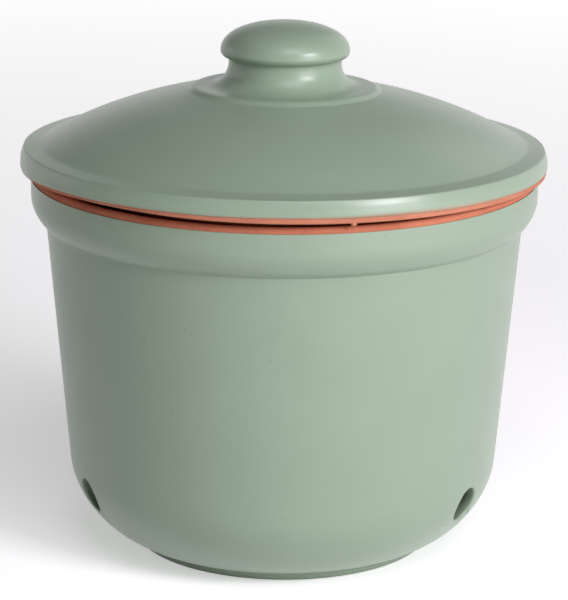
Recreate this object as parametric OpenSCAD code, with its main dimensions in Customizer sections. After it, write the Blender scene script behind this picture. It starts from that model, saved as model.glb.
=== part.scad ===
/* [Pot] */
// Height of the rim's flat top, where the lid rests
pot_h = 146.4; // [120:0.2:190]
// Diameter of the foot
foot_d = 113.2; // [90:0.2:128]
// Height of the foot up to the crease where the belly starts
foot_h = 3.1; // [2.6:0.1:6]
// Radius of the foot's lower edge
foot_edge_r = 1; // [0.6:0.1:1.4]
// Diameter at the belly's corner, before the corner is rounded
belly_d = 159.8; // [142:0.2:178]
// Height of the belly's corner, before the corner is rounded
belly_h = 11.2; // [8:0.2:18]
// Radius that rounds the belly
belly_r = 32.4; // [20:0.2:40]
// Diameter of the wall at the crease under the rim bead
wall_top_d = 179.6; // [160:0.2:200]
// Thickness of the wall
wall_t = 7; // [5:0.1:9]
// Thickness of the floor
floor_t = 10; // [7:0.1:13]

/* [Rim bead] */
// How far the bead stands out from the wall at its crease
bead_out = 5.5; // [4:0.1:8]
// Height of the bead from its crease to the rim's top
bead_h = 20.9; // [18:0.1:30]
// Radius of the bead's round underside
bead_r = 13.4; // [9:0.1:17]
// Radius of the rim's outer edge
rim_out_r = 3.2; // [2:0.1:4]
// Radius of the rim's inner edge
rim_in_r = 2.5; // [1:0.1:4]
// Bare clay left between the rim's top and the pot's coat
pot_bare_h = 3.8; // [3.4:0.1:6]

/* [Vents] */
// Diameter of a vent hole
vent_d = 13; // [8:0.5:16]
// Height of the vents' centres
vent_z = 25; // [20:0.5:60]
// Angle from the left front vent to the right front vent
vent_spread = 124; // [90:1:150]
// Turn of all the vents about the pot's axis, seen from above
vent_turn = -3; // [-60:1:60]

/* [Lid] */
// How far the flange stands out past the bead
flange_out = 3.6; // [1:0.1:6]
// Height of the lip's lowest point above the seat
lip_lift = 0.6; // [0.3:0.1:1.5]
// Radius of the roll from the lip up to the flange's side
lip_r = 1.1; // [0.8:0.1:2.4]
// Bare clay left between that roll and the lid's coat
lid_bare_h = 1.1; // [0.4:0.1:2]
// Height of the flange's coated side, before its upper edge is rounded
flange_side_h = 1.8; // [1.4:0.1:4]
// Radius of the flange's upper edge
flange_edge_r = 2.2; // [1:0.1:3]
// Width of the flange's top, from its side in to the groove
flange_w = 9.2; // [6:0.1:13]
// Rise of the flange's top from its side to the groove
flange_rise = 3.2; // [1:0.1:5]
// Radius of the hollow in the groove
groove_r = 2; // [0.5:0.1:4]
// Diameter at the dome's shoulder, before the shoulder is rounded
shoulder_d = 135; // [115:1:150]
// Rise of the dome from the groove to its shoulder
shoulder_rise = 12.2; // [9:0.1:17]
// Radius that rounds the dome's shoulder
shoulder_r = 146; // [60:1:160]
// Thickness of the lid's dome
lid_t = 6.5; // [5:0.1:8]
// Depth of the ring that drops into the mouth
ring_h = 6; // [4:0.1:12]
// Thickness of that ring
ring_t = 6; // [5:0.1:9]
// Clearance between the ring and the mouth
ring_gap = 1.8; // [1:0.1:3]

/* [Knob] */
// Diameter of the low collar around the knob's neck
collar_d = 67; // [60:0.2:76]
// Rise of the dome from its shoulder to the collar's foot
collar_lift = 8; // [5:0.1:12]
// Height of the collar's edge
collar_step = 1.3; // [0.8:0.1:3]
// Radius of the collar's edge
collar_edge_r = 0.9; // [0.3:0.1:1.2]
// Rise of the collar's top from its edge to the neck, before the flare
collar_rise = 0.7; // [0:0.1:3]
// Diameter of the neck
neck_d = 41.6; // [34:0.1:46]
// Radius of the neck's flare into the collar
neck_r = 6.4; // [3:0.1:8]
// Height of the neck from the collar's top to the crease under the cap
neck_h = 10.9; // [9:0.1:18]
// How far the cap stands out past the neck
cap_out = 3.1; // [2:0.1:9]
// Height of the cap's lower roll
cap_roll_h = 2.9; // [2:0.1:5]
// Height of the cap's crown above its roll
crown_h = 9.8; // [6:0.1:16]
// Diameter of the hollow inside the knob, open below
hollow_d = 17; // [12:0.5:20]
// Clay left above that hollow
hollow_roof = 9; // [7:0.5:12]

/* [Coat] */
// Thickness of the coloured coat
coat_t = 0.4; // [0.3:0.05:0.8]

/* [Hidden] */
$fn = 160;
clay_colour = "#c9714f";
coat_colour = "#93a592";
// Turn of one straight piece in a rounded stretch
arc_step = 7.5;
// Share of a straight stretch that one rounded end may take
round_share = 0.9;

// Plane geometry of the outlines, as [radius, height] pairs

function unit(v) = v / norm(v);
function turned(p, a) = [p[0] * cos(a) - p[1] * sin(a), p[0] * sin(a) + p[1] * cos(a)];
function reversed(path) = [for (i = [len(path) - 1 : -1 : 0]) path[i]];
function last_of(path) = path[len(path) - 1];
function arc_steps(turn) = max(1, ceil(abs(turn) / arc_step));

// Points of a circle's arc, from one angle to another
function arc(centre, r, from, to) =
    let (steps = arc_steps(to - from))
    [for (i = [0 : steps]) centre + turned([r, 0], from + (to - from) * i / steps)];

// Points of the arc that rounds the corner b between a and c, no larger than its two sides allow
function corner_arc(a, b, c, r) =
    let (
        back = unit(a - b),
        ahead = unit(c - b),
        half = acos(back * ahead) / 2,
        room = round_share * min(norm(a - b), norm(c - b)),
        fitted = min(r, room * tan(half)),
        centre = b + unit(back + ahead) * fitted / sin(half),
        start = b + back * fitted / tan(half) - centre,
        turn = sign(cross(b - a, c - b)) * (180 - 2 * half),
        steps = arc_steps(turn)
    )
    [for (i = [0 : steps]) centre + turned(start, turn * i / steps)];

// Direction to the left of the way from a to b
function left_of(a, b) = turned(unit(b - a), 90);

// A path moved to its left by d, keeping each stretch parallel
function shifted(path, d) =
    let (last = len(path) - 1)
    [for (i = [0 : last])
        let (
            before = left_of(path[max(i - 1, 0)], path[max(i, 1)]),
            after = left_of(path[min(i, last - 1)], path[min(i + 1, last)]),
            way = unit(before + after)
        )
        path[i] + way * d / (way * before)];

// Points where the line through a and b reaches a height, and a radius
function at_height(a, b, z) = a + (b - a) * (z - a[1]) / (b[1] - a[1]);
function at_radius(a, b, r) = a + (b - a) * (r - a[0]) / (b[0] - a[0]);

// Pot outlines

foot_side = foot_d / 2;
foot_corner = [foot_side, foot_h];
belly_corner = [belly_d / 2, belly_h];
crease = [wall_top_d / 2, pot_h - bead_h];
bead_side = wall_top_d / 2 + bead_out;
bead_turn = acos((bead_r - bead_out) / bead_r);
bead_centre = [bead_side - bead_r, crease[1] + bead_r * sin(bead_turn)];
// The hollow between the foot and the belly is as round as the foot's lower edge
pot_side = concat(
    [[foot_side, foot_edge_r]],
    corner_arc([foot_side, foot_edge_r], foot_corner, belly_corner, foot_edge_r),
    corner_arc(foot_corner, belly_corner, crease, belly_r),
    arc(bead_centre, bead_r, -bead_turn, 0),
    [[bead_side, pot_h - pot_bare_h]]
);

wall_inside = shifted([belly_corner, crease], wall_t);
mouth = at_height(wall_inside[0], wall_inside[1], pot_h);
floor_corner = at_height(wall_inside[0], wall_inside[1], floor_t);
rim_corner = [bead_side, pot_h];
pot_rim = concat(
    corner_arc([bead_side, pot_h - pot_bare_h], rim_corner, mouth, rim_out_r),
    corner_arc(rim_corner, mouth, floor_corner, rim_in_r)
);
pot_inside = concat(
    corner_arc(mouth, floor_corner, [0, floor_t], belly_r - wall_t),
    [[0, floor_t]]
);
pot_foot = concat(
    [[0, 0]],
    arc([foot_side - foot_edge_r, foot_edge_r], foot_edge_r, -90, 0)
);

// Lid outlines

seat = pot_h;
flange_side = bead_side + flange_out;
lip_centre = [flange_side - lip_r, seat + lip_lift + lip_r];
lid_lip = arc(lip_centre, lip_r, -90, 0);
coat_start = [flange_side, lip_centre[1] + lid_bare_h];
flange_edge = coat_start + [0, flange_side_h];
groove = flange_edge + [-flange_w, flange_rise];
shoulder = [shoulder_d / 2, groove[1] + shoulder_rise];
collar_foot = [collar_d / 2, shoulder[1] + collar_lift];
collar_edge = collar_foot + [0, collar_step];
neck_foot = [neck_d / 2, collar_edge[1] + collar_rise];
cap_low = neck_foot + [0, neck_h];
cap_centre = [0, cap_low[1] + cap_roll_h];
cap_r = neck_d / 2 + cap_out;
crown_top = cap_centre + [0, crown_h];

// The dome runs from the groove over its shoulder to the collar
dome_top = concat([groove], corner_arc(groove, shoulder, collar_foot, shoulder_r), [collar_foot]);
// The cap's lower roll and its crown are quarter ellipses
cap_roll = [for (p = arc([0, 0], 1, -90, 0)) [neck_d / 2 + cap_out * p[0], cap_centre[1] + cap_roll_h * p[1]]];
cap_crown = [for (p = arc([0, 0], 1, arc_step, 90 - arc_step)) [cap_r * p[0], cap_centre[1] + crown_h * p[1]]];
lid_top = concat(
    [coat_start],
    corner_arc(coat_start, flange_edge, groove, flange_edge_r),
    corner_arc(flange_edge, groove, shoulder, groove_r),
    [for (i = [1 : len(dome_top) - 1]) dome_top[i]],
    corner_arc(collar_foot, collar_edge, neck_foot, collar_edge_r),
    corner_arc(collar_edge, neck_foot, cap_low, neck_r),
    cap_roll,
    cap_crown
);

// The dome's underside runs parallel to its top
dome_under = shifted(dome_top, lid_t);
dome_end = last_of(dome_under);
ring_out = mouth[0] - ring_gap;
ring_in = ring_out - ring_t;
ring_root = [ring_in, lookup(ring_in, dome_under)];
ring_foot = seat - ring_h;
ring_edge_r = ring_t / 3;
hollow_mouth = at_radius(dome_under[len(dome_under) - 2], dome_end, hollow_d / 2);
hollow_top = crown_top - [0, hollow_roof];
hollow_corner = [hollow_d / 2, hollow_top[1]];
// Underside from the knob's hollow out to the edge of the seat
lid_under = concat(
    [hollow_top],
    corner_arc(hollow_top, hollow_corner, hollow_mouth, hollow_d / 3),
    corner_arc(hollow_corner, hollow_mouth, dome_end, hollow_d / 6),
    [for (p = reversed(dome_under)) if (p[0] < ring_in) p],
    [ring_root],
    corner_arc(ring_root, [ring_in, ring_foot], [ring_out, ring_foot], ring_edge_r),
    corner_arc([ring_in, ring_foot], [ring_out, ring_foot], [ring_out, seat], ring_edge_r),
    [[ring_out, seat], [bead_side - rim_out_r, seat]]
);

module vents() {
    for (side = [-vent_spread / 2, vent_spread / 2, 180])
        rotate([0, 0, side + vent_turn])
            translate([0, -belly_d / 4, vent_z])
                rotate([90, 0, 0])
                    cylinder(d = vent_d, h = belly_d / 2);
}

// Fired clay pot, bare inside, on its rim and under its foot
module pot_body() {
    color(clay_colour)
        difference() {
            rotate_extrude()
                polygon(concat(pot_foot, pot_side, pot_rim, pot_inside));
            vents();
        }
}

// Coloured coat over the outside of the pot
module pot_glaze() {
    color(coat_colour)
        difference() {
            rotate_extrude()
                polygon(concat(pot_side, reversed(shifted(pot_side, -coat_t))));
            vents();
        }
}

// Fired clay lid with its knob, bare underneath and along its lip
module lid_body() {
    color(clay_colour)
        rotate_extrude()
            polygon(concat(lid_under, lid_lip, lid_top, [crown_top]));
}

// Coloured coat over the top of the lid
module lid_glaze() {
    color(coat_colour)
        rotate_extrude()
            polygon(concat(
                lid_top,
                [crown_top, crown_top + [0, coat_t]],
                reversed(shifted(lid_top, -coat_t))
            ));
}

pot_body();
pot_glaze();
lid_body();
lid_glaze();
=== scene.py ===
import bmesh
import bpy
import math
from mathutils import Matrix, Vector


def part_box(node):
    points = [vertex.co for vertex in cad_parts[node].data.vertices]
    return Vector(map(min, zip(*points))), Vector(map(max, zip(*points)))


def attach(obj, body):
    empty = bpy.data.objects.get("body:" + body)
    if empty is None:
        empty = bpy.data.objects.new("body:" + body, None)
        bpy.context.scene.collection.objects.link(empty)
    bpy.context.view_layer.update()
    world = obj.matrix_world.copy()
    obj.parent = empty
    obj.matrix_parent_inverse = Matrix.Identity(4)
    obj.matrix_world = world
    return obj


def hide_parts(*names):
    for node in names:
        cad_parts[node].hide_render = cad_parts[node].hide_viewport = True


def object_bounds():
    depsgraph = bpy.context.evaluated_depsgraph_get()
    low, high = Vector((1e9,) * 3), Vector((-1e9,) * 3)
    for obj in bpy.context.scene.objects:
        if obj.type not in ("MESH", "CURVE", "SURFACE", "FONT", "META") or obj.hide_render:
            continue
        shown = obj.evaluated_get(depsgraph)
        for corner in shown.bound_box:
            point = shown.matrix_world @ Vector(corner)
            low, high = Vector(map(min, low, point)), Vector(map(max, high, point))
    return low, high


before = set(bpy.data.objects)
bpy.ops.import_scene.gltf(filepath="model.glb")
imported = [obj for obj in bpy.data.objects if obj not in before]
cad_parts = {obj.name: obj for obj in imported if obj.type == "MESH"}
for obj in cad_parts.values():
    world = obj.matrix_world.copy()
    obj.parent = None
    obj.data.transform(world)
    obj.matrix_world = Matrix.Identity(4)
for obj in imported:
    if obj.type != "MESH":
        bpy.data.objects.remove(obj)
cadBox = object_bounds()
mm = 0.001
print("frame loaded, box", [round(c, 4) for c in (*cadBox[0], *cadBox[1])])


# camera: long lens, a little above the lid, with a slight roll
camera = {
    "place": (0.00015, -1.0474, 0.3840),
    "aim": (0.00015, 0.0, 0.0926),
    "roll": 0.4175,  # degrees
    "lens": 170.24,
    "sensor": 36.0,
    "clip": (0.05, 20.0),
}


def makeCamera():
    data = bpy.data.cameras.new("camera")
    data.lens = camera["lens"]
    data.sensor_width = camera["sensor"]
    data.dof.use_dof = False
    data.clip_start, data.clip_end = camera["clip"]
    rig = bpy.data.objects.new("camera", data)
    way = Vector(camera["aim"]) - Vector(camera["place"])
    turn = way.to_track_quat("-Z", "Y").to_matrix().to_4x4()
    spin = Matrix.Rotation(math.radians(camera["roll"]), 4, "Z")
    rig.matrix_world = Matrix.Translation(camera["place"]) @ turn @ spin
    bpy.context.collection.objects.link(rig)
    bpy.context.scene.camera = rig


makeCamera()
print("camera set")


# outlines are (radius, height, rounding) in millimetres, turned about the pot's axis
turning = {
    "steps": 256,
    "repeats": 8,  # one share of the circle is turned, then repeated round it
    "segment": 1.9,  # longest straight stretch left in an outline
    "facet": 7.0,  # degrees of turn in one stretch of a rounded corner
    "merge": 0.002,  # vertices closer than this become one
    "leastRound": 0.2,  # smallest rounding left when an outline is moved out
}


def layOutline(mesh, corners, closed=False):
    verts = [mesh.verts.new((r * mm, 0.0, z * mm)) for r, z, _ in corners]
    for pair in zip(verts, verts[1:] + verts[:1] if closed else verts[1:]):
        mesh.edges.new(pair)
    for i, (_, _, rounding) in enumerate(corners):
        if rounding and len(verts[i].link_edges) == 2:
            roundCorner(mesh, verts[i], rounding * mm)
    for edge in list(mesh.edges):
        cuts = math.ceil(edge.calc_length() / (turning["segment"] * mm)) - 1
        if cuts > 0:
            bmesh.ops.subdivide_edges(mesh, edges=[edge], cuts=cuts)


def roundCorner(mesh, corner, radius):
    before, after = [e.other_vert(corner).co - corner.co for e in corner.link_edges]
    turn = math.pi - before.angle(after)
    byTurn = math.degrees(turn) / turning["facet"]
    byLength = radius * turn / (turning["segment"] * mm)
    bmesh.ops.bevel(mesh, geom=[corner], offset=radius * math.tan(turn / 2), offset_type="OFFSET",
                    segments=math.ceil(max(2, byTurn, byLength)), profile=0.5, affect="VERTICES",
                    material=-1, clamp_overlap=True)


def turnOutline(mesh):
    share = math.tau / turning["repeats"]
    about = {"cent": (0, 0, 0), "axis": (0, 0, 1)}
    bmesh.ops.spin(mesh, geom=mesh.verts[:] + mesh.edges[:], angle=share,
                   steps=turning["steps"] // turning["repeats"], **about)
    bmesh.ops.spin(mesh, geom=mesh.verts[:] + mesh.edges[:] + mesh.faces[:], angle=math.tau - share,
                   steps=turning["repeats"] - 1, use_duplicate=True, **about)
    bmesh.ops.remove_doubles(mesh, verts=mesh.verts[:], dist=turning["merge"] * mm)
    bmesh.ops.recalc_face_normals(mesh, faces=mesh.faces[:])


def ellipse(centreZ, wide, tall, start, stop, count, centreR=0.0, full=2.0):
    # points along an ellipse between two turns in degrees; full above 2 makes it squarer, below 2 sharper
    turns = [math.radians(start + (stop - start) * i / count) for i in range(count + 1)]
    ways = [(math.cos(t), math.sin(t)) for t in turns]
    bent = [[math.copysign(abs(c) ** (2 / full), c) for c in way] for way in ways]
    return [(centreR + wide * x, centreZ + tall * z, 0) for x, z in bent]


def movedOut(corners, gap):
    # the same outline moved to its right by gap, which is away from the clay
    points = [Vector((r, z)) for r, z, _ in corners]
    last = len(points) - 1
    moved = []
    for i, (point, corner) in enumerate(zip(points, corners)):
        into = (points[max(i, 1)] - points[max(i - 1, 0)]).normalized()
        out = (points[min(i + 1, last)] - points[min(i, last - 1)]).normalized()
        right = [Vector((d.y, -d.x)) for d in (into, out)]
        way = (right[0] + right[1]).normalized()
        spot = point + way * gap / way.dot(right[0])
        bulge = gap if into.cross(out) > 0 else -gap  # outer rounds grow, hollows shrink
        moved.append((spot.x, spot.y, max(corner[2] + bulge, turning["leastRound"]) if corner[2] else 0))
    return moved


def finishPiece(mesh, name, body, node, material):
    data = bpy.data.meshes.new(name)
    mesh.to_mesh(data)
    mesh.free()
    for face in data.polygons:
        face.use_smooth = True
    piece = bpy.data.objects.new(name, data)
    bpy.context.collection.objects.link(piece)
    data.materials.append(material)
    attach(piece, body)
    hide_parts(node)
    print(name, "made,", len(data.polygons), "faces")


# finishes
clayLook = {
    "pale": (0.56, 0.190, 0.100, 1),
    "deep": (0.46, 0.138, 0.068, 1),
    "fleck": (0.28, 0.080, 0.042, 1),
    "rough": 0.82,
    "mottle": 70,  # texture scales, in waves or cells for each metre
    "grain": 1500,
    "cells": 420,
    "flecked": 0.10,  # share of cells with a fleck
}
coatLook = {
    "pale": (0.269, 0.360, 0.260, 1),
    "deep": (0.259, 0.348, 0.250, 1),
    "fleck": (0.216, 0.290, 0.208, 1),
    "rough": 0.30,
    "mottle": 45,
    "grain": 1300,
    "cells": 200,
    "flecked": 0.04,
}
surface = {
    "grainShare": 0.8,  # weight of the grain beside the mottle
    "tone": (0.7, 1.1),  # noise that runs from the deep tone to the pale one
    "dot": (0.13, 0.05),  # edge and core of a fleck, in cells
    "dotChoice": 0.01,  # softness of the choice of cells
    "grit": 2600,  # breaks up the edge of the coat
    "gritShare": 0.4,
    "edge": (0.2, 1.1),  # coat and grit that run from bare clay to full coat
    "wear": 300,
    "wearRange": (0.3, 0.7),
    "wearBy": 0.02,  # how far that changes the roughness
    "bump": 700,
    "bumpStrength": 0.04,
    "bumpHeight": 0.05,  # millimetres
}


def addNode(tree, kind, **settings):
    node = tree.nodes.new(kind)
    for name, value in settings.items():
        setattr(node, name, value)
    return node


def noiseOf(tree, place, scale, detail):
    noise = addNode(tree, "ShaderNodeTexNoise")
    noise.inputs["Scale"].default_value = scale
    noise.inputs["Detail"].default_value = detail
    tree.links.new(place, noise.inputs["Vector"])
    return noise.outputs["Fac"]


def spread(tree, value, low, high, toLow=0.0, toHigh=1.0):
    ramp = addNode(tree, "ShaderNodeMapRange")
    for socket, number in zip(ramp.inputs[1:5], (low, high, toLow, toHigh)):
        socket.default_value = number
    tree.links.new(value, ramp.inputs[0])
    return ramp.outputs[0]


def blendOf(tree, share, first, second):
    mix = addNode(tree, "ShaderNodeMix", data_type="RGBA")
    tree.links.new(share, mix.inputs[0])
    for socket, colour in ((mix.inputs[6], first), (mix.inputs[7], second)):
        if hasattr(colour, "node"):
            tree.links.new(colour, socket)
        else:
            socket.default_value = colour
    return mix.outputs[2]


def sumOf(tree, first, second, scale=1.0):
    both = addNode(tree, "ShaderNodeMath", operation="MULTIPLY_ADD")
    tree.links.new(second, both.inputs[0])
    both.inputs[1].default_value = scale
    tree.links.new(first, both.inputs[2])
    return both.outputs[0]


def productOf(tree, first, second):
    product = addNode(tree, "ShaderNodeMath", operation="MULTIPLY")
    tree.links.new(first, product.inputs[0])
    tree.links.new(second, product.inputs[1])
    return product.outputs[0]


def surfaceColour(tree, place, look):
    # broad tone, fine grain, then a few small dark flecks
    mottle = noiseOf(tree, place, look["mottle"], 3)
    both = sumOf(tree, mottle, noiseOf(tree, place, look["grain"], 2), surface["grainShare"])
    colour = blendOf(tree, spread(tree, both, *surface["tone"]), look["deep"], look["pale"])
    spots = addNode(tree, "ShaderNodeTexVoronoi")
    spots.inputs["Scale"].default_value = look["cells"]
    tree.links.new(place, spots.inputs["Vector"])
    split = addNode(tree, "ShaderNodeSeparateColor")
    tree.links.new(spots.outputs["Color"], split.inputs[0])
    chosen = spread(tree, split.outputs[0], look["flecked"], look["flecked"] - surface["dotChoice"])
    dot = spread(tree, spots.outputs["Distance"], *surface["dot"])
    return blendOf(tree, productOf(tree, chosen, dot), colour, look["fleck"])


def makeFinish(name):
    # the spray attribute says how much coat lies on the clay, from 0 to 1
    material = bpy.data.materials.new(name)
    material.use_nodes = True
    tree = material.node_tree
    shader = tree.nodes["Principled BSDF"]
    place = addNode(tree, "ShaderNodeTexCoord").outputs["Object"]
    spray = addNode(tree, "ShaderNodeAttribute", attribute_name="spray").outputs["Fac"]
    grit = noiseOf(tree, place, surface["grit"], 3)
    edge = spread(tree, sumOf(tree, spray, grit, surface["gritShare"]), *surface["edge"])
    clay = surfaceColour(tree, place, clayLook)
    coat = surfaceColour(tree, place, coatLook)
    tree.links.new(blendOf(tree, edge, clay, coat), shader.inputs["Base Color"])
    wear = noiseOf(tree, place, surface["wear"], 3)
    wear = spread(tree, wear, *surface["wearRange"], -surface["wearBy"], surface["wearBy"])
    gloss = spread(tree, edge, 0, 1, clayLook["rough"], coatLook["rough"])
    tree.links.new(sumOf(tree, gloss, wear), shader.inputs["Roughness"])
    bump = addNode(tree, "ShaderNodeBump")
    bump.inputs["Strength"].default_value = surface["bumpStrength"]
    bump.inputs["Distance"].default_value = surface["bumpHeight"] * mm
    height = sumOf(tree, noiseOf(tree, place, surface["bump"], 3), grit, surface["gritShare"])
    tree.links.new(height, bump.inputs["Height"])
    tree.links.new(bump.outputs["Normal"], shader.inputs["Normal"])
    return material


# pot: a turned vessel, its outside coated from the foot to just below the rim
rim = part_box("pot_body")[1] / mm
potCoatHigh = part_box("pot_glaze")[1] / mm
pot = {
    "foot": (56.6, 3.1),
    "footRound": 1.5,
    "belly": (79.9, 11.2),
    "bellyRound": 32.4,
    "crease": (89.8, rim.z - 20.9),
    "creaseRound": 0.5,
    "beadLow": 4.0,  # from the crease up to where the bead's two faces would meet
    "beadRound": 11.6,
    "rimDrop": 1.55,
    "rimOut": (1.6, 2.5),  # rounding of the rim outside its crest, wide and tall
    "rimIn": 5.5,  # how far down the slope inside its crest goes
    "rimFull": 1.3,  # 1 is a straight slope, 2 a round one
    "rimSteps": (5, 12, 10),  # stretches in the rim's rounding: coat, clay outside and clay inside
    "wall": 7.0,
    "floor": 10.0,
    "floorRound": 25.4,
    "coat": potCoatHigh.x - rim.x,
    "coatLow": 0.3,
    "coatRound": 0.3,
}
vents = {
    "angles": (-65, 59, 177),  # degrees from the front, anticlockwise seen from above
    "height": 25.0,
    "bore": 6.5,
    "round": 0.35,  # softened edge of the clay under the coat
    "patch": 10.4,  # half the square of wall taken out round a vent
    "sprayed": (3.6, 4.6, 2.4),  # how far the coat runs into each bore
    "mist": (1.3, 1.8),  # thin coat on the clay: its share at the start, and reach in sprayed depths
    "thinEnd": 0.9,  # share of its thickness that the coat loses where it ends in a bore
    "innerSteps": (1.0, 1.2),  # depths of two more rings down the clay bore
    "margin": 0.1,  # spots this far outside the clay bore still count as in it
    "roundSteps": 5,
}


def potSide():
    crease = pot["crease"]
    wide, tall = pot["rimOut"]
    start = rim.z - pot["rimDrop"] - tall
    coatTurn = math.degrees(math.asin((potCoatHigh.z - start) / tall))
    return [
        (pot["foot"][0], pot["coatLow"], 0),
        (*pot["foot"], pot["footRound"]),
        (*pot["belly"], pot["bellyRound"]),
        (*crease, pot["creaseRound"]),
        (rim.x, crease[1] + pot["beadLow"], pot["beadRound"]),
        *ellipse(start, wide, tall, 0, coatTurn, pot["rimSteps"][0], rim.x - wide),
    ]


def potInside():
    low, high = Vector(pot["belly"]), Vector(pot["crease"])
    lean = (high - low).normalized()
    inside = low + Vector((-lean.y, lean.x)) * pot["wall"]
    crest = rim.x - pot["rimOut"][0]
    mouth = rim.z - pot["rimDrop"] - pot["rimIn"]
    floorR, mouthR = [inside.x + (z - inside.y) * lean.x / lean.y for z in (pot["floor"], mouth)]
    slope = ellipse(mouth, crest - mouthR, pot["rimIn"], 90, 180, pot["rimSteps"][2], crest, pot["rimFull"])
    return [
        *slope,
        (floorR, pot["floor"], pot["floorRound"]),
        (0, pot["floor"], 0),
    ]


def potClayOutline():
    base = [(0, 0, 0), (pot["foot"][0], 0, pot["footRound"])]
    wide, tall = pot["rimOut"]
    start = rim.z - pot["rimDrop"] - tall
    outer = ellipse(start, wide, tall, 0, 90, pot["rimSteps"][1], rim.x - wide)
    return base + potSide()[1:5] + outer + potInside()[1:]


def sideOf(corners):
    # (height, radius) down one side of the wall
    mesh = bmesh.new()
    layOutline(mesh, corners)
    side = sorted((v.co.z, v.co.x) for v in mesh.verts)
    mesh.free()
    return side


def radiusAt(side, height):
    for (z0, x0), (z1, x1) in zip(side, side[1:]):
        if z0 <= height <= z1:
            return x0 + (x1 - x0) * (height - z0) / max(z1 - z0, 1e-9)
    return side[-1][1]


def ventFrame(angle):
    out = Vector((math.sin(math.radians(angle)), -math.cos(math.radians(angle)), 0))
    return out, Vector((-out.y, out.x, 0)), Vector((0, 0, 1))


def openPatch(mesh, angle, sides, wanted):
    # takes a square of faces out of one side of the wall and returns the edges round the hole
    out, across, _ = ventFrame(angle)
    half = vents["patch"] * mm
    gone = []
    for face in mesh.faces:
        spot = face.calc_center_median()
        if abs(spot.z - vents["height"] * mm) < half and abs(spot.dot(across)) < half and spot.dot(out) > 0:
            radius = math.hypot(spot.x, spot.y)
            away = [abs(radiusAt(side, spot.z) - radius) for side in sides]
            if away.index(min(away)) == wanted:
                gone.append(face)
    around = {e for f in gone for e in f.edges}
    bmesh.ops.delete(mesh, geom=gone, context="FACES")
    return [e for e in around if e.is_valid and len(e.link_faces) == 1]


def ringOnWall(mesh, angle, radius, count, side):
    out, across, up = ventFrame(angle)
    turn = Matrix((across, up, out)).transposed().to_4x4()
    ring = bmesh.ops.create_circle(mesh, segments=count, radius=radius * mm, matrix=turn)["verts"]
    for vert in ring:
        aside = vert.co.dot(across)
        height = vert.co.z + vents["height"] * mm
        depth = math.sqrt(radiusAt(side, height) ** 2 - aside ** 2)
        vert.co = across * aside + out * depth
        vert.co.z = height
    return list({e for v in ring for e in v.link_edges})


def drawIn(mesh, edges, angle, radii, depths):
    # extrudes a ring into the wall, step by step: new radius and further depth in millimetres
    out, _, up = ventFrame(angle)
    centre = up * vents["height"] * mm
    for radius, depth in zip(radii, depths):
        made = bmesh.ops.extrude_edge_only(mesh, edges=edges)["geom"]
        for vert in [g for g in made if isinstance(g, bmesh.types.BMVert)]:
            flat = vert.co - out * vert.co.dot(out) - centre
            vert.co += flat.normalized() * radius * mm - flat - out * depth * mm
        edges = [g for g in made if isinstance(g, bmesh.types.BMEdge) and len(g.link_faces) == 1]
    return edges


def ventRound(bore, radius):
    # the steps of a rounded edge, for drawIn
    steps = vents["roundSteps"]
    turns = [math.radians(90 * i / steps) for i in range(steps + 1)]
    radii = [bore + radius * (1 - math.sin(t)) for t in turns[1:]]
    depths = [radius * (math.cos(a) - math.cos(b)) for a, b in zip(turns, turns[1:])]
    return radii, depths


def openVent(mesh, angle, sides, ringSize, ways):
    # one hole through a wall: each side is opened, drawn into the bore, and the two are joined
    holes = [openPatch(mesh, angle, sides, wanted) for wanted in range(len(sides))]
    ends = []
    for hole, side, way in zip(holes, sides, ways):
        ring = ringOnWall(mesh, angle, ringSize, len(hole), side)
        bmesh.ops.bridge_loops(mesh, edges=hole + ring)
        ends += drawIn(mesh, ring, angle, *way)
    bmesh.ops.bridge_loops(mesh, edges=ends)


def paintSpray(mesh, rule):
    layer = mesh.verts.layers.float.new("spray")
    for vert in mesh.verts:
        vert[layer] = rule(vert.co)


def sprayedVent(spot):
    # how far the coat runs into the bore this spot lies in, or 0 outside the bores
    for angle, sprayed in zip(vents["angles"], vents["sprayed"]):
        out, across, _ = ventFrame(angle)
        off = math.hypot(spot.dot(across), spot.z - vents["height"] * mm)
        if spot.dot(out) > 0 and off < (vents["bore"] + pot["coat"] + vents["margin"]) * mm:
            return sprayed
    return 0.0


def makePotClay(material):
    mesh = bmesh.new()
    layOutline(mesh, potClayOutline())
    sides = sideOf(potSide()), sideOf(potInside())
    turnOutline(mesh)
    bore, edge = vents["bore"] + pot["coat"], vents["round"]
    radii, depths = ventRound(bore, edge)
    outer = radii + [bore, bore], depths + list(vents["innerSteps"])
    inner = radii, [-d for d in depths]
    for angle in vents["angles"]:
        openVent(mesh, angle, sides, bore + edge, (outer, inner))
    bmesh.ops.recalc_face_normals(mesh, faces=mesh.faces[:])

    def overspray(spot):
        sprayed = sprayedVent(spot)
        depth = (radiusAt(sides[0], spot.z) - math.hypot(spot.x, spot.y)) / mm
        first, reach = vents["mist"]
        return max(0.0, min(1.0, first - depth / (reach * sprayed))) if sprayed else 0.0

    paintSpray(mesh, overspray)
    finishPiece(mesh, "pot_clay", "pot", "pot_body", material)


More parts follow.
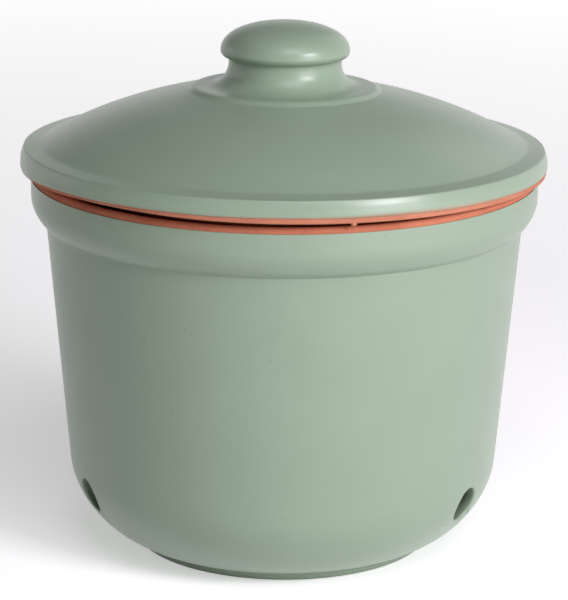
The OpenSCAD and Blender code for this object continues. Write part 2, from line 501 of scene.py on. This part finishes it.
def makePotCoat(material):
    mesh = bmesh.new()
    under = potSide()
    over = movedOut(under, pot["coat"])
    over[-1] = (*over[-1][:2], pot["coatRound"])
    layOutline(mesh, under[::-1] + over, closed=True)
    sides = sideOf(over), sideOf(under)
    turnOutline(mesh)
    bore, edge, skin = vents["bore"], vents["round"], pot["coat"]
    outerRadii, outerDepths = ventRound(bore, edge + skin)
    innerRadii, innerDepths = ventRound(bore + skin, edge)
    for angle, sprayed in zip(vents["angles"], vents["sprayed"]):
        deeper = sprayed - edge - skin
        outer = outerRadii + [bore + skin * vents["thinEnd"]], outerDepths + [deeper]
        inner = innerRadii + [bore + skin], innerDepths + [deeper]
        openVent(mesh, angle, sides, bore + skin + edge, (outer, inner))
    bmesh.ops.recalc_face_normals(mesh, faces=mesh.faces[:])
    paintSpray(mesh, lambda spot: 1.0)
    finishPiece(mesh, "pot_coat", "pot", "pot_glaze", material)


finish = makeFinish("fired_clay_and_coat")
makePotClay(finish)
makePotCoat(finish)


# lid: flange, groove, dome, collar and knob in one turned piece
lidLow, lidHigh = (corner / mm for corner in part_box("lid_body"))
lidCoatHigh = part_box("lid_glaze")[1] / mm
seat = rim.z
lid = {
    "lip": -1.0,  # heights from here on are above the seat
    "lipRound": 0.6,
    "lipThick": 1.6,
    "coatLine": 0.85,
    "face": (11.3, -5, 26),  # round face of the flange: radius, first and last turn in degrees
    "faceMiddle": 1.82,
    "faceSteps": 9,
    "faceRound": 0.3,
    "notch": (0.5, 0.2),  # fine groove in the coat where the face meets the ring, wide and deep
    "notchRise": 0.0625,  # its inner edge is this much higher than its outer one
    "notchRound": 0.1,
    "ringIn": 7.3,  # width of the flat ring, in from the flange's side
    "ringRise": 1.0,
    "grooveRound": 6.0,
    "shoulder": (67.5, 20.0),
    "shoulderRound": 146.0,
    "collar": (36.2, 27.9),
    "collarFoot": 1.6,
    "collarTop": (34.2, 29.4),
    "collarRound": 2.2,
    "neck": (20.8, 30.0),
    "neckRound": 9.0,
    "capLow": 40.9,
    "capOut": 3.1,
    "neckTop": 0.6,  # the neck ends this far below the cap
    "rollHeight": 2.2,
    "rollSteps": 10,
    "crownSteps": 24,
    "capFull": 2.15,  # 2 is an ellipse, more is fuller
    "thick": 6.5,
    "underRound": 80.0,
    "plugOut": 82.78,
    "plugIn": 76.78,
    "plugRound": 2.0,
    "plugRootRound": 1.5,
    "seatRound": 1.0,
    "lipStart": (0.3, 0.4),  # the lip drops from the seat this far out from the rim, and its rounding
    "hollow": 8.5,
    "hollowRoof": 9.0,
    "coat": lidCoatHigh.x - lidHigh.x,
    "thinEdge": 0.06,  # thickness of the coat where it ends
    "veil": 0.7,  # height over which clay shows through the thin coat
    "veilMore": (32, 28, 1.3),  # it is wider here: middle and width in degrees, height
    "veilShare": 0.35,  # share of coat at its lowest edge
    "dust": 0.08,  # share of coat on the bare lip
    "dustFrom": 1.5,  # which starts this far out from the rim
    "lean": 0.28,  # degrees, the lid sits a little higher at its left
    "pitch": 0.9,  # and at its front
    "shift": -0.25,  # to the right, so it sits a hair to the left
    "chip": (-42, 22, 0.9),  # the lip's lower edge is uneven: middle and width in degrees, height
    "chipFrom": 1.0,  # which starts this far out from the rim
    "chipReach": 1.0,  # and ends this far above the coat's line
    "run": (-90, 30, 2.0),  # the coat runs lower here
    "wobble": ((5, 1.0, 0.10), (13, 2.0, 0.07)),  # waves in the coat's lower line: count, start, height
    "lineReach": 2.5,  # these changes fade out this far above the line
    "nub": (14.4, 1.25),  # a crumb of clay under the lip: degrees and radius
    "nubSteps": (16, 10),
    "scrapes": (0.75, 1.1, 1.4, 1.65),  # fine lines round the lip, above its lower edge
    "scrapeSize": (0.09, 0.05),  # half width and depth
}


def lidFace():
    # the flange's round face, from the coat's lower line up to the ring's edge
    radius, first, last = lid["face"]
    middle = seat + lid["faceMiddle"]
    face = ellipse(middle, radius, radius, first, last, lid["faceSteps"], lidHigh.x - radius)
    foot = seat + lid["coatLine"]
    return [(face[0][0], foot, 0)] + face[1:]


def lidTop():
    face = lidFace()
    foot = (lidHigh.x - lid["ringIn"], face[-1][1] + lid["ringRise"])
    collar, collarTop, neck = [(lid[n][0], seat + lid[n][1]) for n in ("collar", "collarTop", "neck")]
    capMiddle = seat + lid["capLow"] + lid["rollHeight"]
    roll = ellipse(capMiddle, lid["capOut"], lid["rollHeight"], -90, 0, lid["rollSteps"], neck[0])
    crown = ellipse(capMiddle, neck[0] + lid["capOut"], lidHigh.z - capMiddle, 0, 90,
                    lid["crownSteps"], full=lid["capFull"])
    return [
        *face[:-1],
        (*face[-1][:2], lid["faceRound"]),
        (*foot, lid["grooveRound"]),
        (lid["shoulder"][0], seat + lid["shoulder"][1], lid["shoulderRound"]),
        (*collar, lid["collarFoot"]),
        (*collarTop, lid["collarRound"]),
        (*neck, lid["neckRound"]),
        (neck[0], seat + lid["capLow"] - lid["neckTop"], 0),
        *roll[1:],
        *crown[1:],
    ]


def scrapeLines(radius, low):
    half, deep = lid["scrapeSize"]
    return [(radius - inward, low + height + rise, 0) for height in lid["scrapes"]
            for inward, rise in ((0, -half), (deep, 0), (0, half))]


def lidUnder():
    face = lidFace()
    foot = (lidHigh.x - lid["ringIn"], face[-1][1] + lid["ringRise"], 0)
    dome = [foot] + [(lid[n][0], seat + lid[n][1], 0) for n in ("shoulder", "collar")]
    under = movedOut(dome, -lid["thick"])
    slope = (under[1][1] - under[0][1]) / (under[1][0] - under[0][0])
    plugRoot = under[0][1] + (lid["plugIn"] - under[0][0]) * slope
    rise = (under[2][1] - under[1][1]) / (under[2][0] - under[1][0])
    mouth = under[2][1] + (lid["hollow"] - under[2][0]) * rise
    roof = lidHigh.z - lid["hollowRoof"]
    lip = seat + lid["lip"]
    return [
        (0, roof, 0),
        (lid["hollow"], roof, lid["hollow"] * 2 / 3),
        (lid["hollow"], mouth, lid["hollow"] / 3),
        (under[1][0], under[1][1], lid["underRound"]),
        (lid["plugIn"], plugRoot, lid["plugRootRound"]),
        (lid["plugIn"], lidLow.z, lid["plugRound"]),
        (lid["plugOut"], lidLow.z, lid["plugRound"]),
        (lid["plugOut"], seat, lid["seatRound"]),
        (rim.x + lid["lipStart"][0], seat, lid["lipStart"][1]),
        (face[0][0] - lid["lipThick"], lip, lid["lipRound"]),
        (face[0][0], lip, lid["lipRound"]),
        *scrapeLines(face[0][0], lip),
        face[0],
    ]


def hump(angle, middle, width, height):
    return height * math.exp(-((angle - middle) / width) ** 2)


def angleOf(spot):
    return math.degrees(math.atan2(spot.x, -spot.y))


def unevenLip(mesh):
    # the lip's lower edge rises a little on one side, less so further up
    low, high = (seat + lid["lip"]) * mm, (seat + lid["coatLine"] + lid["chipReach"]) * mm
    for vert in mesh.verts:
        if vert.co.z < high and math.hypot(vert.co.x, vert.co.y) > (rim.x + lid["chipFrom"]) * mm:
            share = min(1.0, (high - vert.co.z) / (high - low))
            vert.co.z += hump(angleOf(vert.co), *lid["chip"]) * mm * share


def sitLid(mesh):
    # the lid sits a hair crooked on the rim, higher at its front and left
    unevenLip(mesh)
    pitch = Matrix.Rotation(-math.radians(lid["pitch"]), 4, "X")
    lean = Matrix.Rotation(math.radians(lid["lean"]), 4, "Y")
    bmesh.ops.rotate(mesh, verts=mesh.verts[:], cent=(0, 0, seat * mm), matrix=pitch @ lean)
    bmesh.ops.translate(mesh, verts=mesh.verts[:], vec=(lid["shift"] * mm, 0, 0))


def makeLidClay(material):
    mesh = bmesh.new()
    layOutline(mesh, lidUnder() + lidTop()[1:])
    turnOutline(mesh)
    turn, size = lid["nub"]
    crumb = Vector((0, -lidFace()[0][0] + size, seat + lid["lip"])) * mm
    place = Matrix.Rotation(math.radians(turn), 4, "Z") @ Matrix.Translation(crumb)
    around, upward = lid["nubSteps"]
    bmesh.ops.create_uvsphere(mesh, u_segments=around, v_segments=upward, radius=size * mm, matrix=place)
    lipFrom = (rim.x + lid["dustFrom"]) * mm
    paintSpray(mesh, lambda spot: lid["dust"] if math.hypot(spot.x, spot.y) > lipFrom else 0.0)
    sitLid(mesh)
    finishPiece(mesh, "lid_clay", "lid", "lid_body", material)


def makeLidCoat(material):
    mesh = bmesh.new()
    under = lidTop()
    over = movedOut(under, lid["coat"])
    over[-1] = (0, over[-1][1], 0)
    low = under[0][1]
    over[0] = (under[0][0] + lid["thinEdge"], low, 0)
    edge = len(lidFace()) - 1
    (r, z, _), (wide, deep) = over[edge], lid["notch"]
    ditch = (r, z), (r - wide / 2, z - deep), (r - wide, z + lid["notchRise"])
    over[edge:edge + 1] = [(*spot, lid["notchRound"]) for spot in ditch]
    layOutline(mesh, under[::-1] + over)
    turnOutline(mesh)

    def veil(spot):
        height = lid["veil"] + hump(angleOf(spot), *lid["veilMore"])
        share = min(1.0, max(0.0, (spot.z / mm - low) / height))
        return lid["veilShare"] + (1 - lid["veilShare"]) * share

    paintSpray(mesh, veil)
    reach = lid["lineReach"]
    for vert in mesh.verts:
        above = vert.co.z / mm - low
        if above < reach and math.hypot(vert.co.x, vert.co.y) > rim.x * mm:
            angle = angleOf(vert.co)
            waves = sum(h * math.sin(n * math.radians(angle) + start) for n, start, h in lid["wobble"])
            vert.co.z += (waves - hump(angle, *lid["run"])) * (1 - above / reach) * mm
    sitLid(mesh)
    finishPiece(mesh, "lid_coat", "lid", "lid_glaze", material)


makeLidClay(finish)
makeLidCoat(finish)


# studio: pale floor, white surroundings and soft boxes
studio = {
    "floor": 3.0,
    "lampAway": 1.5,
    "white": (1, 1, 1, 1),
    "floorColour": (0.93, 0.93, 0.93, 1),
    "floorRough": 0.9,
    "floorGlow": (0.42, 0.82),  # lifts the floor to white where it is seen, near the pot and far off
    "glowReach": (0.4, 1.4),  # how near and how far that is
    "low": 1.0,  # the surroundings are white near the floor
    "high": 0.22,  # and darker overhead
    "rise": (0.14, 0.45),  # heights of view where that change starts and ends, as a share of straight up
    "fill": 0.25,  # share of that as light on the object
}
# azimuth is from the front, anticlockwise seen from above, and rise is degrees above the floor
lamps = {
    "key": {"azimuth": 46, "rise": 26, "size": (0.54, 0.34), "power": 12.6, "colour": (1.05, 0.985, 1.07)},
    "low": {"azimuth": 44, "rise": 5, "size": (0.90, 0.36), "power": 5.6, "colour": (1.05, 0.985, 1.07)},
    "upper": {"azimuth": 18, "rise": 52, "size": (0.95, 0.95), "power": 7.8, "colour": (1.03, 0.99, 1.04)},
    "backRight": {"azimuth": 145, "rise": 30, "size": (0.60, 0.60), "power": 0.8, "colour": (1, 1, 1)},
    "left": {"azimuth": -110, "rise": 12, "size": (0.80, 0.60), "power": 0.8, "colour": (1, 1, 1)},
    "front": {"azimuth": -30, "rise": 30, "size": (0.60, 0.60), "power": 0.5, "colour": (1, 1, 1)},
}


def makeLamp(name, spec):
    data = bpy.data.lights.new(name, "AREA")
    data.shape = "RECTANGLE"
    data.size, data.size_y = spec["size"]
    data.energy = spec["power"]
    data.color = spec["colour"]
    lamp = bpy.data.objects.new(name, data)
    turn, rise = math.radians(spec["azimuth"]), math.radians(spec["rise"])
    way = Vector((math.sin(turn) * math.cos(rise), -math.cos(turn) * math.cos(rise), math.sin(rise)))
    middle = Vector((0, 0, cadBox[1][2] / 2))
    lamp.location = middle + way * studio["lampAway"]
    lamp.rotation_euler = (-way).to_track_quat("-Z", "Y").to_euler()
    bpy.context.collection.objects.link(lamp)


def whereSeen(tree):
    # 1 for rays from the camera, in reflections and through glass, otherwise 0
    path = addNode(tree, "ShaderNodeLightPath")
    share = path.outputs["Is Camera Ray"]
    for name in ("Is Glossy Ray", "Is Transmission Ray"):
        most = addNode(tree, "ShaderNodeMath", operation="MAXIMUM")
        tree.links.new(share, most.inputs[0])
        tree.links.new(path.outputs[name], most.inputs[1])
        share = most.outputs[0]
    return share


def makeWorld():
    world = bpy.data.worlds.new("studio")
    bpy.context.scene.world = world
    world.use_nodes = True
    tree = world.node_tree
    light = tree.nodes["Background"]
    split = addNode(tree, "ShaderNodeSeparateXYZ")
    tree.links.new(addNode(tree, "ShaderNodeTexCoord").outputs["Generated"], split.inputs[0])
    wall = spread(tree, split.outputs[2], *studio["rise"], studio["low"], studio["high"])
    share = spread(tree, whereSeen(tree), 0, 1, studio["fill"], 1)
    tree.links.new(productOf(tree, wall, share), light.inputs["Strength"])
    light.inputs["Color"].default_value = studio["white"]


def makeFloor():
    mesh = bmesh.new()
    bmesh.ops.create_grid(mesh, x_segments=1, y_segments=1, size=studio["floor"])
    data = bpy.data.meshes.new("floor")
    mesh.to_mesh(data)
    mesh.free()
    floor = bpy.data.objects.new("floor", data)
    bpy.context.collection.objects.link(floor)
    material = bpy.data.materials.new("pale_floor")
    material.use_nodes = True
    tree = material.node_tree
    shader = tree.nodes["Principled BSDF"]
    shader.inputs["Base Color"].default_value = studio["floorColour"]
    shader.inputs["Roughness"].default_value = studio["floorRough"]
    shader.inputs["Emission Color"].default_value = studio["white"]
    away = addNode(tree, "ShaderNodeVectorMath", operation="LENGTH")
    tree.links.new(addNode(tree, "ShaderNodeTexCoord").outputs["Object"], away.inputs[0])
    glow = spread(tree, away.outputs["Value"], *studio["glowReach"], *studio["floorGlow"])
    tree.links.new(productOf(tree, glow, whereSeen(tree)), shader.inputs["Emission Strength"])
    data.materials.append(material)


makeWorld()
makeFloor()
for lampName, lampSpec in lamps.items():
    makeLamp(lampName, lampSpec)
bpy.context.scene.view_settings.view_transform = "Standard"
print("studio set")
